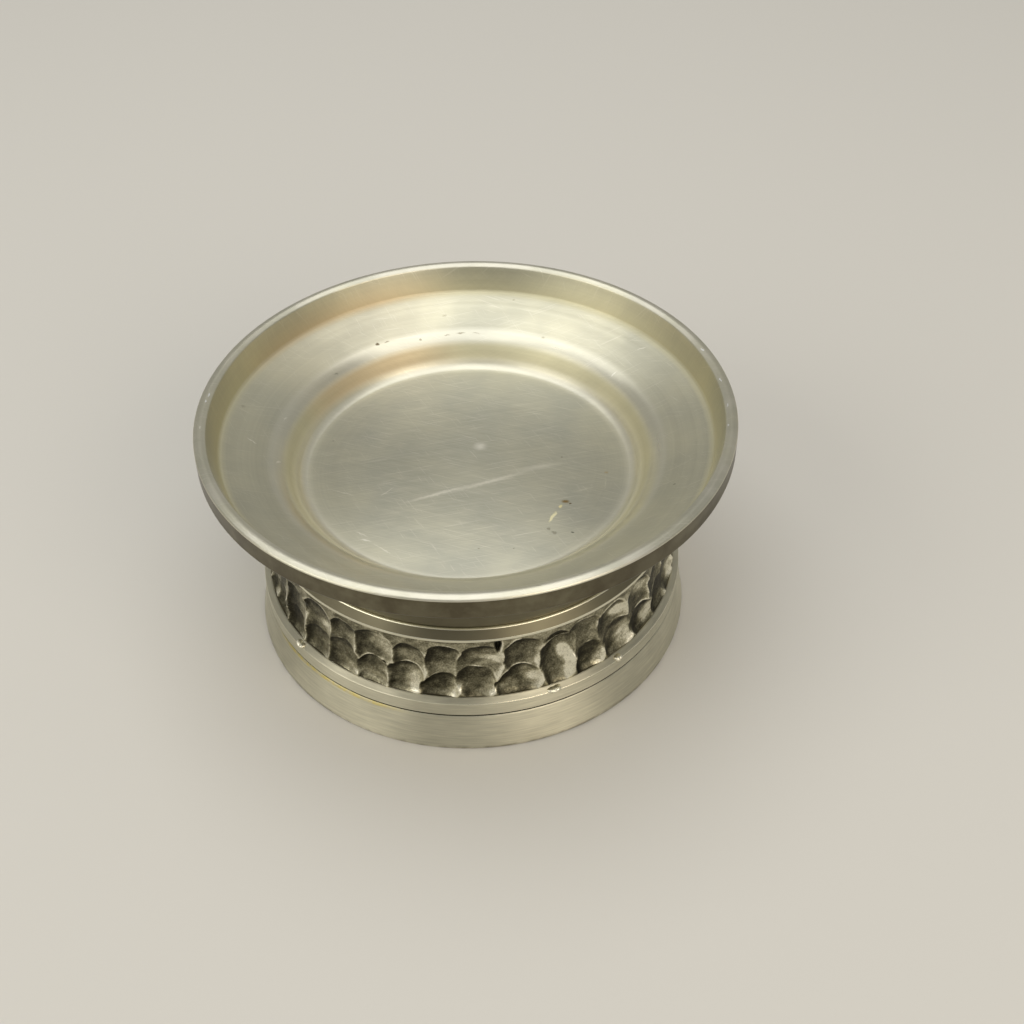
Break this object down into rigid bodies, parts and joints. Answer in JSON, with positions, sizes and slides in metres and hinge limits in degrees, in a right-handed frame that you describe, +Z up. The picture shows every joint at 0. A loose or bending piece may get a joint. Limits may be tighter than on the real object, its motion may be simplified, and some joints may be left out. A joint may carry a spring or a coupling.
{
  "type": "wine bottle coaster",
  "caption": "Round pewter coaster: a rimmed dish with a sunken seat for a wine bottle, raised on a hollow drum with a scooped frieze and a plain foot.",
  "frame": {"origin": "centre of the ring on which the foot stands", "axes": "+Z up, along the axis of the dish and the drum; the dish opens towards +Z"},
  "size_m": [0.115, 0.115, 0.0539],
  "materials": {
    "turned_pewter": "satin, fine lathe lines and light scratches",
    "cast_pewter": "cast and darkened, with polished edges",
    "solder": "dull, as it ran"
  },
  "bodies": {
    "root": {"dish": "turned_pewter", "neck_solder": "solder", "frieze_ring": "cast_pewter", "foot_solder": "solder", "foot_ring": "turned_pewter"}
  },
  "joints": []
}
